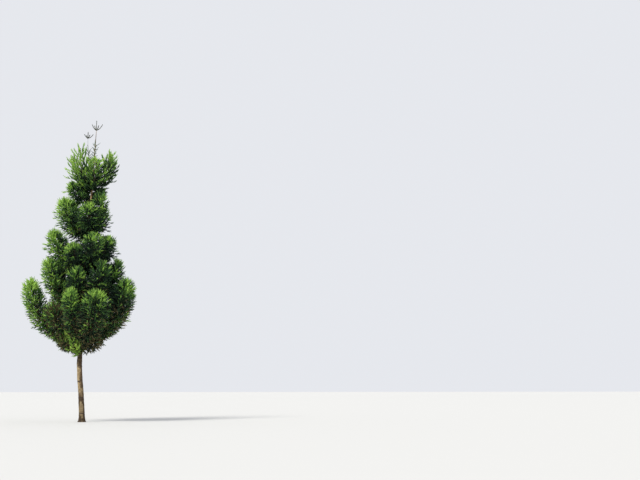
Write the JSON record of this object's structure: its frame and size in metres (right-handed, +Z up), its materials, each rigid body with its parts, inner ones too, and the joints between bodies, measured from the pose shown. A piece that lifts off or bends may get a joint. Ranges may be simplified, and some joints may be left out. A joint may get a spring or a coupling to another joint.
{
  "type": "hoop pine tree",
  "caption": "Slim conifer rooted at a flat cut: a leaning bare trunk, tiers of upswept boughs with dense plumes of foliage, and two thin leaders with star-like tips.",
  "frame": {"origin": "middle of the flat cut under the trunk, at ground level", "axes": "+Z up along the tree. +X to the right and +Y away from the viewer in the picture's view; the trunk leans a little to -X and back to +X"},
  "size_m": [5.1048, 4.6434, 14.0003],
  "materials": {
    "bark": "rough pinkish tan bark with dark scars and hoop-like rings",
    "bough_bark": "rough brown bark of boughs and twigs",
    "foliage": "matt mid green needle foliage, brighter at the tips",
    "new_growth": "matt light yellow-green new foliage",
    "dry_foliage": "matt olive brown old foliage"
  },
  "bodies": {
    "root": {"trunk": "bark", "lower_bough_1": "bough_bark", "lower_bough_2": "bough_bark", "lower_bough_3": "bough_bark", "lower_bough_4": "bough_bark", "lower_bough_5": "bough_bark", "lower_bough_6": "bough_bark", "lower_bough_7": "bough_bark", "lowest_bough_1": "bough_bark", "lowest_bough_2": "bough_bark", "lowest_bough_3": "bough_bark", "lowest_bough_4": "bough_bark", "lowest_bough_5": "bough_bark", "lowest_bough_6": "bough_bark", "lowest_bough_7": "bough_bark", "side_leader": "bough_bark", "side_leader_foliage": "foliage", "leader_foliage": "foliage", "crown_foliage_1": "foliage", "crown_foliage_2": "foliage", "crown_foliage_3": "foliage", "crown_foliage_4": "foliage", "crown_foliage_5": "foliage", "crown_foliage_6": "foliage", "dry_foliage_1": "dry_foliage", "dry_foliage_2": "dry_foliage", "dry_foliage_3": "dry_foliage", "high_foliage_1": "foliage", "high_foliage_2": "foliage", "high_foliage_3": "foliage", "high_foliage_4": "foliage", "lower_foliage_1": "foliage", "lower_foliage_2": "foliage", "lower_foliage_3": "foliage", "lower_foliage_4": "foliage", "lower_foliage_5": "foliage", "lower_foliage_6": "foliage", "lower_foliage_7": "foliage", "lowest_foliage_1": "foliage", "lowest_foliage_2": "foliage", "lowest_foliage_3": "foliage", "lowest_foliage_4": "foliage", "lowest_foliage_5": "foliage", "lowest_foliage_6": "foliage", "lowest_foliage_7": "foliage", "middle_foliage_1": "foliage", "middle_foliage_2": "foliage", "middle_foliage_3": "foliage", "middle_foliage_4": "foliage", "middle_foliage_5": "foliage", "middle_foliage_6": "foliage", "shoot_foliage_1": "new_growth", "tuft_foliage_1": "foliage", "tuft_foliage_2": "foliage", "tuft_foliage_3": "foliage", "upper_foliage_1": "foliage", "upper_foliage_2": "foliage", "upper_foliage_3": "foliage", "upper_foliage_4": "foliage", "upper_foliage_5": "foliage"}
  },
  "joints": []
}
